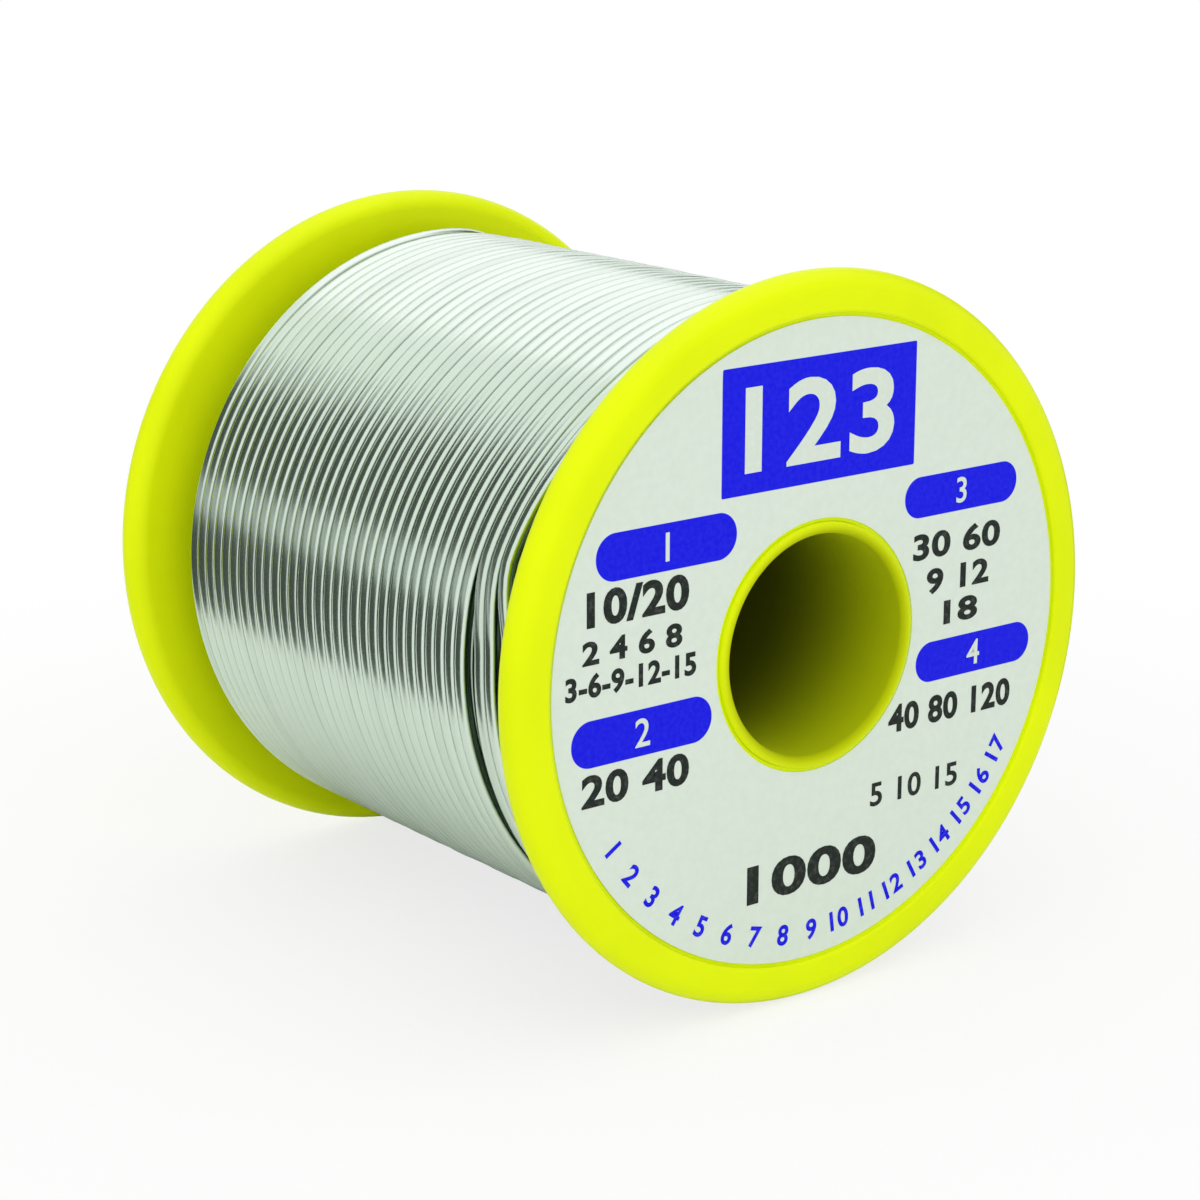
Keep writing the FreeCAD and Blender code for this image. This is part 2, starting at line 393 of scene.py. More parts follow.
def neon_plastic():
    """Bright moulded plastic: faint flow marks in its colour, a fine skin, rubbed patches that are less shiny.

    Down the bore its colour is darkened with depth as painted shade, since little light gets there, and it is fully
    rough, as a drawn mould core leaves it.
    """
    material, nodes, shader = new_material("neon_plastic", PLASTIC, 0.34, Specular_IOR_Level=0.06)
    place = nodes.place()
    flow = nodes.between(nodes.noise(place, scale=90.0), 0.35, 0.75)
    colour = nodes.blend(flow, opaque(PLASTIC), opaque(PLASTIC_DEEP))
    parts = nodes.add("ShaderNodeSeparateXYZ", {0: place})
    # Painted shade: the bore and the spigot's lip take the shaded colour, more of it further in
    in_bore = nodes.between(nodes.length(parts.outputs["X"], parts.outputs["Z"]), *BORE_MASK, to_low=1.0, to_high=0.0)
    from_middle = nodes.math("ABSOLUTE", parts.outputs["Y"])
    darkness = nodes.between(
        from_middle, flange_outer - BORE_SHADE_DEPTH, flange_outer, to_low=BORE_PAINTED_SHADE, to_high=MOUTH_PAINTED_SHADE
    )
    colour = nodes.blend(nodes.math("MULTIPLY", in_bore, darkness), colour, opaque(PLASTIC_SHADED))
    nodes.tree.links.new(colour, shader.inputs["Base Color"])
    rubbed = nodes.group(HANDLING, "Mask", Vector=place, Scale=70.0)
    skin = nodes.between(rubbed, 0.0, 1.0, to_low=0.30, to_high=0.46)
    roughness = nodes.math("MAXIMUM", skin, nodes.math("MULTIPLY", in_bore, BORE_ROUGHNESS))
    nodes.tree.links.new(roughness, shader.inputs["Roughness"])
    nodes.bump(shader, nodes.group(GRAIN, "Height", Vector=place, Scale=900.0), distance=0.012 * MM)
    return material


def printed_paper(bars):
    """The label's paper, with its blue bars printed on it: faint fibres, and ink that is a little glossier."""
    paper_roughness, ink_roughness = 0.55, 0.36
    material, nodes, shader = new_material("printed_paper", PAPER, paper_roughness, Specular_IOR_Level=0.05)
    place = nodes.place()
    fibres = nodes.noise(place, scale=1400.0, detail=4.0, roughness=0.6)
    paper = nodes.blend(nodes.between(fibres, 0.3, 0.7), opaque(PAPER), opaque(PAPER_FIBRES))
    inked = 0.0
    for centre, half_length, half_height, rounding in bars:
        mask = nodes.group(
            ROUNDED_BAR, "Mask", Vector=place, Centre=(centre[0] * MM, -label_face, centre[1] * MM),
            Half_Length=half_length * MM, Half_Height=half_height * MM, Rounding=rounding * MM,
        )
        inked = nodes.math("MAXIMUM", inked, mask)
    cover = nodes.between(nodes.noise(place, scale=2600.0, detail=2.0), 0.2, 0.8, to_low=0.985, to_high=1.0)
    inked = nodes.math("MULTIPLY", inked, cover)
    nodes.tree.links.new(nodes.blend(inked, paper, opaque(INK_BLUE)), shader.inputs["Base Color"])
    roughness = nodes.between(inked, 0.0, 1.0, to_low=paper_roughness, to_high=ink_roughness)
    nodes.tree.links.new(roughness, shader.inputs["Roughness"])
    nodes.bump(shader, nodes.group(GRAIN, "Height", Vector=place, Scale=1200.0), distance=0.006 * MM)
    return material


def ink(name, colour):
    """Printing ink that is slightly uneven in its darkness."""
    material, nodes, shader = new_material(name, colour, 0.4, Specular_IOR_Level=0.08)
    thin = nodes.between(nodes.noise(nodes.place(), scale=2200.0, detail=2.0), 0.45, 0.85)
    paler = opaque([part + THIN_INK_PALER for part in colour])
    nodes.tree.links.new(nodes.blend(thin, opaque(colour), paler), shader.inputs["Base Color"])
    return material


def drawn_solder():
    """Drawn solder wire: soft metal with fine lines along it, painted shade on the flanks between turns, and cloudy
    patches.

    The piece's own map gives the length along the wire and the way round it, both in metres.
    """
    material, nodes, shader = new_material("drawn_solder", SOLDER, 0.27, Metallic=1.0)
    wire_map = nodes.add("ShaderNodeUVMap", uv_map="along_wire").outputs["UV"]
    lines = nodes.noise(nodes.stretched(wire_map, (60.0, 9000.0, 1.0)), scale=1.0, roughness=0.6)
    clouds = nodes.noise(nodes.stretched(wire_map, (28.0, 500.0, 1.0)), scale=1.0, roughness=0.55)
    way_round = nodes.add("ShaderNodeSeparateXYZ", {0: wire_map}).outputs["Y"]
    # Painted shade between the turns: the flanks away from the wire's outer side take the darker colour
    flank_shade = nodes.math("MULTIPLY", nodes.between(nodes.math("ABSOLUTE", way_round), *FLANK_SHADE_SPAN), FLANK_PAINTED_SHADE)
    cloudy = nodes.between(clouds, 0.45, 0.8, to_low=0.0, to_high=0.18)
    flank_shade_and_clouds = nodes.math("ADD", flank_shade, cloudy, clamp=True)
    colour = nodes.blend(flank_shade_and_clouds, opaque(SOLDER), opaque(SOLDER_SHADE_AND_CLOUD))
    nodes.tree.links.new(colour, shader.inputs["Base Color"])
    nodes.tree.links.new(nodes.between(lines, 0.3, 0.7, to_low=0.15, to_high=0.25), shader.inputs["Roughness"])
    nodes.bump(shader, lines, distance=0.006 * MM, strength=0.7)
    return material


def plain_solder():
    """The same metal for the turns that are covered, which carry no map of their own."""
    material, nodes, shader = new_material("covered_solder", SOLDER_SHADE_AND_CLOUD, 0.36, Metallic=1.0)
    place = nodes.place()
    cloudy = nodes.between(nodes.noise(place, scale=500.0), 0.35, 0.7)
    # The covered turns clouds between the darker colour, which also paints the outer flanks' shade, and the solder's
    # own
    colour = nodes.blend(cloudy, opaque(SOLDER_SHADE_AND_CLOUD), opaque(SOLDER))
    nodes.tree.links.new(colour, shader.inputs["Base Color"])
    nodes.bump(shader, nodes.group(GRAIN, "Height", Vector=place, Scale=2500.0), distance=0.004 * MM)
    return material


def flux_resin():
    """Amber flux with small darker specks."""
    material, nodes, shader = new_material("flux_resin", FLUX, 0.25)
    place = nodes.place()
    specks = nodes.between(nodes.noise(place, scale=9000.0, detail=2.0), 0.5, 0.8)
    nodes.tree.links.new(nodes.blend(specks, opaque(FLUX), opaque(FLUX_SPECKS)), shader.inputs["Base Color"])
    nodes.bump(shader, nodes.group(GRAIN, "Height", Vector=place, Scale=9000.0), distance=0.01 * MM)
    return material


# The three mouldings

def flange_profile(side):
    """Profile of a flange: leaning inner face, full-round rim, rounded lip and recess, as (radius, along)."""
    rim_inner = flange_inner + FACE_DRAFT
    rim_half = (flange_outer - rim_inner) / 2
    rim_centre = (flange_radius - rim_half, rim_inner + rim_half)
    lip_centre = (RECESS_RADIUS + RIM_EDGE_ROUNDING, flange_outer - RIM_EDGE_ROUNDING)
    corner_centre = (RECESS_RADIUS - RECESS_CORNER_ROUNDING, recess_floor + RECESS_CORNER_ROUNDING)
    hub = SPIGOT_RADIUS + SPIGOT_ROOM
    rim = arc_points(rim_centre, rim_half, -90.0, 90.0, count=25)
    lip = arc_points(lip_centre, RIM_EDGE_ROUNDING, 90.0, 180.0, count=7)
    corner = arc_points(corner_centre, RECESS_CORNER_ROUNDING, 0.0, -90.0, count=5)
    profile = np.vstack([
        straight_points((hub, flange_inner), rim[0], count=6),
        rim,
        lip,
        corner,
        straight_points(corner[-1], (hub, recess_floor), count=6)[1:],
        [(hub, recess_floor)],
    ])
    profile[:, 1] *= side
    return profile


def barrel_profile():
    """Profile of the barrel, front and rear alike: bore, rounded spigot ends, shoulders and outside."""
    bore_centre = (BORE_RADIUS + SPIGOT_BORE_ROUNDING, flange_outer - SPIGOT_BORE_ROUNDING)
    outer_centre = (SPIGOT_RADIUS - SPIGOT_OUTER_ROUNDING, flange_outer - SPIGOT_OUTER_ROUNDING)
    half = np.vstack([
        straight_points((BORE_RADIUS, 0.0), (BORE_RADIUS, flange_outer - SPIGOT_BORE_ROUNDING), count=12)[1:],
        arc_points(bore_centre, SPIGOT_BORE_ROUNDING, 180.0, 90.0, count=9),
        arc_points(outer_centre, SPIGOT_OUTER_ROUNDING, 90.0, 0.0, count=8),
        [(SPIGOT_RADIUS, flange_inner)],
        [(barrel_radius, flange_inner)],
    ])
    mirrored = half[::-1] * np.array([1.0, -1.0])
    return np.vstack([half, mirrored])


def drill_start_hole(barrel):
    """Drills the round hole through the barrel's wall, beside the front flange, that the wire starts in."""
    around = 32
    inner_end, outer_end = BORE_RADIUS - 1.5 * MM, barrel_radius + 1.0 * MM
    low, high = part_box("wire_start")
    along = (low[1] + high[1]) / 2
    direction = outwards_at(START_HOLE_ANGLE)
    side = np.array([-direction[2], 0.0, direction[0]])
    angle = even_angles(around)[:, None]
    ring = START_HOLE_RADIUS * (np.cos(angle) * side + np.sin(angle) * AXIS)
    vertices = np.vstack([ring + direction * distance + AXIS * along for distance in (inner_end, outer_end)])
    drill = linked_mesh("start_hole_drill", vertices.tolist(), closed_tube(vertices, 2, around))
    cut = barrel.modifiers.new("start_hole", "BOOLEAN")
    cut.object = drill
    cut.operation = "DIFFERENCE"
    cut.solver = "EXACT"
    bpy.context.view_layer.update()
    shape = bpy.data.meshes.new_from_object(barrel.evaluated_get(bpy.context.evaluated_depsgraph_get()))
    barrel.modifiers.clear()
    barrel.data = shape
    shape.name = barrel.name
    shade_smooth(shape)
    bpy.data.objects.remove(drill)


# The label

LABEL_HOLE_RADIUS = 9.7 * MM
LABEL_BACK_ROOM = 0.001 * MM
WAVE_HEIGHT = 0.012 * MM
WAVE_ACROSS, WAVE_UP = 7.0 * MM, 9.0 * MM  # lengths over which the wave's angle grows by one radian
EDGE_LIFT = 0.05 * MM
EDGE_LIFT_WIDTH = 2.0 * MM
EDGE_LIFTS = 3.0  # places round the edge where it lifts most
PRINT_STAND = 0.012 * MM
PRINT_DEPTH = 0.008 * MM
PRINT_SHARP_ANGLE = 25.0
LETTER_SPACING = 1.06
LETTER_CURVE_STEPS = 5

# Blue bars: centre, half length, half height and rounding, in millimetres on the label
BLUE_BARS = [
    ((0.0, 17.2), 9.4, 4.7, 0.15),
    ((-14.3, 9.8), 6.4, 1.75, 1.72),
    ((-16.5, -3.5), 6.4, 1.75, 1.72),
    ((14.5, 9.8), 5.9, 1.6, 1.58),
    ((16.3, -3.4), 6.1, 1.6, 1.58),
]

# Lines of print: words, centre, letter height, width, weight and turn, in millimetres and degrees
WHITE_PRINT = [
    ("123", (0.0, 17.2), 8.6, 14.5, 0.2, 0.0),
    ("1", (-14.3, 9.8), 3.0, None, 0.03, 0.0),
    ("2", (-16.5, -3.5), 3.0, None, 0.03, 0.0),
    ("3", (14.5, 9.8), 2.8, None, 0.03, 0.0),
    ("4", (16.3, -3.4), 2.8, None, 0.03, 0.0),
]
BLACK_PRINT = [
    ("10/20", (-16.9, 6.3), 3.4, 9.2, 0.13, 0.0),
    ("2 4 6 8", (-17.4, 3.2), 2.3, 9.0, 0.08, 0.0),
    ("3-6-9-12-15", (-17.5, 0.8), 2.3, 11.8, 0.08, 0.0),
    ("20 40", (-17.1, -7.0), 3.2, 9.8, 0.11, 0.0),
    ("30 60", (14.2, 5.9), 2.7, 9.2, 0.09, 0.0),
    ("9 12", (14.4, 3.0), 2.6, 6.6, 0.09, 0.0),
    ("18", (14.8, 0.3), 2.5, 3.6, 0.09, 0.0),
    ("40 80 120", (14.0, -7.3), 2.9, 13.0, 0.1, 0.0),
    ("5 10 15", (10.4, -13.0), 2.6, 9.2, 0.05, 0.0),
    ("1000", (0.0, -17.6), 4.0, 13.0, 0.14, 0.0),
]

# Numbers round the label's lower edge, in millimetres and degrees
DIAL_NUMBERS = 17
DIAL_RADIUS = 22.5
DIAL_STEP = 7.3
DIAL_MIDDLE = -90.0
DIAL_HEIGHT, DIAL_WEIGHT = 2.2, 0.06


def label_wave(x, z):
    """How far the paper stands off its flat place: a slow wave over it, and a slight lift at its edges.

    The wave is the product of a sine across and a sine upwards. The lift grows over the outermost strip, and comes
    and goes round the edge with a sine of the angle. The phases are arbitrary.
    """
    wave = WAVE_HEIGHT * np.sin(x / WAVE_ACROSS + 0.8) * np.sin(z / WAVE_UP + 0.3)
    lift = EDGE_LIFT * smoothstep(label_radius - EDGE_LIFT_WIDTH, label_radius, np.hypot(x, z))
    return wave + lift * (0.5 + 0.5 * np.sin(EDGE_LIFTS * np.arctan2(z, x) + 1.1))


def paper_label(material):
    """The paper ring: a grid of rings and spokes for its face and one for its back, closed at both edges."""
    around, across = 240, 24
    angle = even_angles(around)[:, None]
    radius = np.linspace(LABEL_HOLE_RADIUS, label_radius, across)[None, :]
    x, z = radius * np.cos(angle), radius * np.sin(angle)
    lift = label_wave(x, z)
    face = np.stack([x, -label_face - lift, z], axis=-1)
    back = np.stack([x, -recess_floor - LABEL_BACK_ROOM - lift, z], axis=-1)
    grid = np.concatenate([face, back[:, ::-1]], axis=1)
    vertices = grid.reshape(-1, 3)
    quads = facing_out(vertices, grid_faces(around, 2 * across, True, True))
    return mesh_piece("paper_label", vertices, quads.tolist(), material)


def text_shape(words, height, weight):
    """Vertices and faces of a line of text, in millimetres: letters only thousandths of a unit high fill badly."""
    curve = bpy.data.curves.new("words", "FONT")
    curve.body = words
    curve.size = height
    curve.offset = weight
    curve.space_character = LETTER_SPACING
    curve.align_x = "CENTER"
    curve.align_y = "CENTER"
    curve.resolution_u = LETTER_CURVE_STEPS
    curve.extrude = PRINT_DEPTH / MM / 2
    holder = bpy.data.objects.new("words", curve)
    bpy.context.scene.collection.objects.link(holder)
    bpy.context.view_layer.update()
    mesh = bpy.data.meshes.new_from_object(holder.evaluated_get(bpy.context.evaluated_depsgraph_get()))
    vertices = np.empty(len(mesh.vertices) * 3)
    mesh.vertices.foreach_get("co", vertices)
    faces = [list(polygon.vertices) for polygon in mesh.polygons]
    bpy.data.objects.remove(holder)
    bpy.data.curves.remove(curve)
    bpy.data.meshes.remove(mesh)
    return vertices.reshape(-1, 3), faces


def printed_words(name, lines, material):
    """Lines of print on the label as one piece. A line gives words, centre, height, width, weight and turn."""
    all_vertices, all_faces, count = [], [], 0
    for words, centre, height, width, weight, turn in lines:
        vertices, faces = text_shape(words, height, weight)
        vertices = vertices * MM
        low, high = vertices.min(axis=0), vertices.max(axis=0)
        middle = (low + high) / 2
        stretch = width * MM / (high[0] - low[0]) if width else 1.0
        x = (vertices[:, 0] - middle[0]) * stretch
        z = vertices[:, 1] - middle[1]
        lean = math.radians(turn)
        across = centre[0] * MM + x * math.cos(lean) - z * math.sin(lean)
        upright = centre[1] * MM + x * math.sin(lean) + z * math.cos(lean)
        along = -label_face - label_wave(across, upright) - PRINT_STAND - vertices[:, 2]
        all_vertices.append(np.stack([across, along, upright], axis=-1))
        all_faces += [[index + count for index in face] for face in faces]
        count += len(vertices)
    return mesh_piece(name, np.vstack(all_vertices), all_faces, material, PRINT_SHARP_ANGLE)


def curved_numbers():
    """Lines of print for plain numbers round the label's lower edge, each turned to stand on the curve."""
    lines = []
    for number in range(1, DIAL_NUMBERS + 1):
        angle = DIAL_MIDDLE + (number - 0.5 - DIAL_NUMBERS / 2) * DIAL_STEP
        place = (DIAL_RADIUS * math.cos(math.radians(angle)), DIAL_RADIUS * math.sin(math.radians(angle)))
        lines.append((str(number), place, DIAL_HEIGHT, None, DIAL_WEIGHT, angle + 90.0))
    return lines


# The wire

TURN_PITCH = 1.25 * MM
FREE_END_ANGLE = math.radians(18.0)
FREE_END_SWEEP = math.radians(318.0)
MEETING_ANGLE = FREE_END_ANGLE - FREE_END_SWEEP  # where each layer climbs from the one below
LEAN_SHIFT = 0.75 * MM  # of the outer layer's helix to the rear, against the model's even rings
FRONT_LEAN_ROOM, REAR_LEAN_ROOM = 0.2 * MM, 0.12 * MM  # that the leaning flanges leave beside the outer layers
COVERED_REAR_ENDS = {12: 22.27 * MM, 13: 22.07 * MM}

# Spans of angles round the spool, in degrees: start, full, fading and end
GROOVES_OPEN = (158.0, 178.0, 250.0, 310.0)
TURNS_TOGETHER = (118.0, 168.0, 270.0, 359.0)  # elsewhere they share the grooves' room

# A climb from layer to layer, in turns of the wire
CLIMB_TURNS = 0.12
RISEN_BY = 0.55 * CLIMB_TURNS
MOVES_FROM = 0.25 * CLIMB_TURNS
SINKS_FROM, SUNK_BY = 0.9 * CLIMB_TURNS, 2.2 * CLIMB_TURNS
JUMP_TURNS = 0.16  # over an open groove

# How untrue the outer layer is, and how far its end stands off
OUT_OF_SQUARE, OUT_OF_SQUARE_TWICE, OUT_OF_ROUND = 0.05 * MM, 0.02 * MM, 0.03 * MM
FREE_TURN_RISE = 0.1 * MM
CUT_END_RISE = 0.9 * MM
CUT_END_RISES_FROM, CUT_END_RISEN_BY = -0.11, 0.02  # in turns, from the wire's end

TURN_STEPS, COVERED_TURN_STEPS = 150, 96
WIRE_SIDES, COVERED_WIRE_SIDES = 12, 10


def turns_between(low, high):
    """How many turns lie side by side in a box of the wire."""
    return round((high[1] - low[1] - 2 * wire_radius) / TURN_PITCH) + 1


rear_turn = main_high[1] - wire_radius
front_stop = -flange_inner - FRONT_LEAN_ROOM + wire_radius
rear_stop = flange_inner + REAR_LEAN_ROOM - wire_radius
main_turns = turns_between(main_low, main_high)
last_turns = turns_between(last_low, last_high)
whole_length = main_turns + last_turns + FREE_END_SWEEP / math.tau
open_gap = main_low[1] + wire_radius - (last_high[1] - wire_radius) - TURN_PITCH
end_gap = last_low[1] + wire_radius - (end_high[1] - wire_radius) - TURN_PITCH
random = np.random.default_rng(12)


def wander(turn, reach, per_turn):
    """A smooth random wander along the wire: random values at even steps of the turn, joined by cosine curves."""
    step = turn * per_turn
    index = np.floor(step).astype(int)
    values = random.uniform(-reach, reach, int(step.max()) + 3)
    share = (1.0 - np.cos((step - index) * math.pi)) / 2.0
    return values[index] * (1.0 - share) + values[index + 1] * share


def climbing(turn, radius, along, below_radius, below_end):
    """The start of a layer: the wire leaves the end of the layer below, rises and moves over that layer's last turn.

    The rise comes first, up to two wire radii above that layer, then the move along the spool. After it the wire
    sinks into its own place.
    """
    along = along + (below_end - along[0]) * (1.0 - smoothstep(MOVES_FROM, CLIMB_TURNS, turn))
    risen = below_radius + 2.0 * wire_radius * smoothstep(0.0, RISEN_BY, turn)
    settled = smoothstep(SINKS_FROM, SUNK_BY, turn)
    return risen * (1.0 - settled) + radius * settled, along


def jumped(turns_since):
    """0 before a jump and 1 after it, with a smooth step round its middle."""
    return smoothstep(-JUMP_TURNS / 2, JUMP_TURNS / 2, turns_since)


def between_angles(angle, start, full, fading, end):
    """1 in the middle of a span of angles round the spool and 0 outside it, with smooth steps at its ends."""
    around = np.degrees(angle) % 360.0
    return smoothstep(start, full, around) * (1.0 - smoothstep(fading, end, around))


def outer_route(turn):
    """Angle, radius and place along the spool of the outer layer's wire, at each number of turns from the rear.

    The wire is a helix of even pitch. The whole winding is slightly out of round and out of square. One groove is
    left open before its last whole turns and another after them. Over the top they are shut and all the turns share
    their room, and between the two the room is beside the front flange. The cut end stands off a little.
    """
    angle = FREE_END_ANGLE - math.tau * (whole_length - turn)
    along = rear_turn - TURN_PITCH * (turn - 0.5) + LEAN_SHIFT
    grooves = open_gap * jumped(turn - main_turns) + end_gap * jumped(turn - main_turns - last_turns)
    along -= grooves * between_angles(angle, *GROOVES_OPEN)
    shared = (open_gap + end_gap) * turn / whole_length
    along -= shared * (1.0 - between_angles(angle, *TURNS_TOGETHER))
    along += OUT_OF_SQUARE * np.sin(angle + 0.7) + OUT_OF_SQUARE_TWICE * np.sin(2.0 * angle)
    along += wander(turn, reach=0.018 * MM, per_turn=3.1)
    along = np.maximum(along, front_stop)
    radius = turn_radius + OUT_OF_ROUND * np.sin(2.0 * angle + 0.4) + wander(turn, reach=0.022 * MM, per_turn=2.3)
    radius += wander(turn, reach=0.03 * MM, per_turn=0.9)
    radius += FREE_TURN_RISE * jumped(turn - main_turns - last_turns)
    radius += CUT_END_RISE * smoothstep(whole_length + CUT_END_RISES_FROM, whole_length + CUT_END_RISEN_BY, turn)
    return angle, radius, along


def covered_route(number, rear_end):
    """Turn, angle, radius and place along the spool of a covered layer's wire.

    It is a helix of whole turns between the front flange and its rear end. Odd layers run to the rear and even ones
    to the front, and all of them turn back at the same angle.
    """
    low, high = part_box("wire_layer_%02d" % number)
    turns = turns_between(low, high)
    turn = np.linspace(0.0, turns, turns * COVERED_TURN_STEPS + 1)
    start, end = (front_stop, rear_end) if number % 2 else (rear_end, front_stop)
    along = start + (end - start) * turn / turns + wander(turn, reach=0.02 * MM, per_turn=2.7)
    radius = high[0] - wire_radius + wander(turn, reach=0.02 * MM, per_turn=1.9)
    return turn, MEETING_ANGLE + math.tau * turn, radius, np.clip(along, front_stop, rear_stop)


def wire_piece(name, angle, radius, along, material, sides=WIRE_SIDES):
    """A round wire carried along its route.

    Each section is a circle round the route's point, in the plane of the spool's axis and the way outwards, and
    both ends are closed. The map holds the length along the wire and the way round it from its outer side. Where
    the way round jumps back to its start, the last face's corners have a whole turn added.
    """
    way_round = np.linspace(-math.pi, math.pi, sides, endpoint=False)
    outwards = outwards_at(angle)[:, None, :]
    centre = outwards * radius[:, None, None] + AXIS * along[:, None, None]
    ring = np.cos(way_round)[None, :, None] * outwards + np.sin(way_round)[None, :, None] * AXIS
    vertices = (centre + wire_radius * ring).reshape(-1, 3)
    faces = closed_tube(vertices, len(angle), sides)
    piece = mesh_piece(name, vertices, faces, material)

    mesh = piece.data
    steps = np.hypot(np.diff(angle) * radius[1:], np.diff(along))
    length = np.concatenate([[0.0], np.cumsum(steps)])
    corner = np.empty(len(mesh.loops), int)
    mesh.loops.foreach_get("vertex_index", corner)
    row, column = corner // sides, corner % sides
    side_corners = (len(angle) - 1) * sides * 4
    side_columns = column[:side_corners].reshape(-1, 4)
    seam = (side_columns.max(axis=1) == sides - 1) & (side_columns.min(axis=1) == 0)
    whole_turns = np.zeros(len(corner))
    whole_turns[:side_corners] = ((side_columns == 0) & seam[:, None]).ravel()
    around = way_round[column] + math.tau * whole_turns
    layer = mesh.uv_layers.new(name="along_wire")
    layer.data.foreach_set("uv", np.stack([length[row], around * wire_radius], axis=-1).ravel())
    return piece


def cut_end(angle, radius, along, material):
    """The flux core at the wire's cut end: a low dome that stands a hair proud of the cut.

    Its rings shrink evenly from the core's edge nearly to its middle, and rise as one less the share squared.
    """
    rings, around = 8, 32
    height, sunk, depth, smallest = 0.05 * MM, 0.001 * MM, 0.2 * MM, 0.02
    outwards = outwards_at(angle)
    centre = outwards * radius + AXIS * along
    forward = np.array([-math.sin(angle), 0.0, math.cos(angle)])
    way_round = even_angles(around)[None, :, None]
    share = np.linspace(1.0, smallest, rings)[:, None, None]
    rise = height * (1.0 - share**2) - sunk
    dome = centre + core_radius * share * (np.cos(way_round) * outwards + np.sin(way_round) * AXIS) + rise * forward
    base = dome[:1] - depth * forward
    vertices = np.concatenate([base, dome]).reshape(-1, 3)
    return mesh_piece("flux_core_end", vertices, closed_tube(vertices, rings + 1, around), material)


# The pieces

plastic = neon_plastic()
solder = drawn_solder()
covered = plain_solder()
paper = printed_paper(BLUE_BARS)
black_ink = ink("black_ink", INK_BLACK)
blue_ink = ink("blue_ink", INK_BLUE)
white_ink = ink("white_ink", INK_WHITE)
flux = flux_resin()

front_flange = turned_piece("front_flange_moulding", flange_profile(-1), plastic)
rear_flange = turned_piece("rear_flange_moulding", flange_profile(1), plastic)
barrel = turned_piece("barrel_moulding", barrel_profile(), plastic, around=192)
drill_start_hole(barrel)
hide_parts("front_flange")
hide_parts("rear_flange")
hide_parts("barrel")

label = paper_label(paper)
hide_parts("label")
white_print = printed_words("label_white_print", WHITE_PRINT, white_ink)
black_print = printed_words("label_black_print", BLACK_PRINT, black_ink)
blue_print = printed_words("label_blue_print", curved_numbers(), blue_ink)

# The layers that show at the rear steps and in the open grooves, from the inner one outwards
covered_routes = [(number, covered_route(number, COVERED_REAR_ENDS.get(number, rear_stop))) for number in (11, 12, 13)]
routes = {}
below = None
for number, (turn, angle, radius, along) in covered_routes:
    if below:
        radius, along = climbing(turn, radius, along, *below)
    below = (radius[-1], along[-1])
    routes[number] = (angle, radius, along)

# The outer layer
turn = np.linspace(0.0, whole_length, round(whole_length * TURN_STEPS) + 1)
angle, radius, along = outer_route(turn)
radius, along = climbing(turn, radius, along, *below)
split = main_turns * TURN_STEPS
main_piece = wire_piece("solder_main_turns", angle[:split + 1], radius[:split + 1], along[:split + 1], solder)
last_piece = wire_piece("solder_last_turns", angle[split:], radius[split:], along[split:], solder)
core = cut_end(angle[-1], radius[-1], along[-1], flux)
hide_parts("wire_layer_14")
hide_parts("wire_last_turns", "wire_free_end")
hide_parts("flux_core")

for number, route in routes.items():
    piece = wire_piece("solder_turns_%d" % number, *route, solder, COVERED_WIRE_SIDES)
    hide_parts("wire_layer_%d" % number)

# The model's own nodes that stay
for name in ["wire_start"] + ["wire_layer_%02d" % number for number in range(1, 11)]:
    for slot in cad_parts[name].material_slots:
        slot.material = covered


# The studio

FLOOR_SIDE = 3.0
FLOOR_COLOUR = (0.93, 0.93, 0.93)
FLOOR_WHITE_FROM = 0.045
FLOOR_WHITE_TO = 0.13
FLOOR_WHITE_NEAR = 0.75  # share of white close to the spool, where its shadow lies
WHITE = (1.0, 1.0, 1.0)
WORLD_LIGHT = 0.74

# Cards that the solder reflects: distance from the bore's axis, and heights of their lower and upper edges
LOW_CARDS = (0.070, cad_low[2] + 0.0005, 0.006)
HIGH_CARDS = (0.120, 0.030, 0.122)
SLIT_CARDS = (0.121, -0.002, 0.034)
UPPER_CARDS = (0.121, 0.122, 0.170)
CARD_FRONT, LEFT_CARD_BACK, RIGHT_CARD_BACK = -0.036, 0.6, 0.05
OVERHEAD_CARD = [(-0.11, -0.4, 0.5), (-0.11, 0.4, 0.5), (0.5, 0.4, 0.5), (0.5, -0.4, 0.5)]
DARK, GREY, BRIGHT = (0.075, 0.085, 0.075), (0.53, 0.55, 0.54), (1.36, 1.26, 1.37)

# Soft boxes: name, azimuth, elevation, distance, size and power
LAMPS = [
    ("top_box", -70.0, 78.0, 0.5, (0.8, 0.8), 0.8),
    ("front_box", -15.0, 45.0, 0.6, (0.4, 0.4), 0.35),
    ("left_box", -50.0, 14.0, 0.6, (0.5, 0.6), 0.5),
]

# The photograph's camera, fitted to its rims, label, bore and winding
CAMERA_AZIMUTH, CAMERA_ELEVATION = -37.7, 15.4
CAMERA_DISTANCE, CAMERA_RIGHT, CAMERA_UP = 243.4 * MM, 0.83 * MM, -2.43 * MM
SENSOR_WIDTH, FOCAL_LENGTH = 36.0, 89.82


def towards(azimuth, elevation):
    """Unit vector from the spool to where an azimuth and elevation in degrees lie: 0 is in front, 90 on its right."""
    a, e = math.radians(azimuth), math.radians(elevation)
    return np.array([math.sin(a) * math.cos(e), -math.cos(a) * math.cos(e), math.sin(e)])


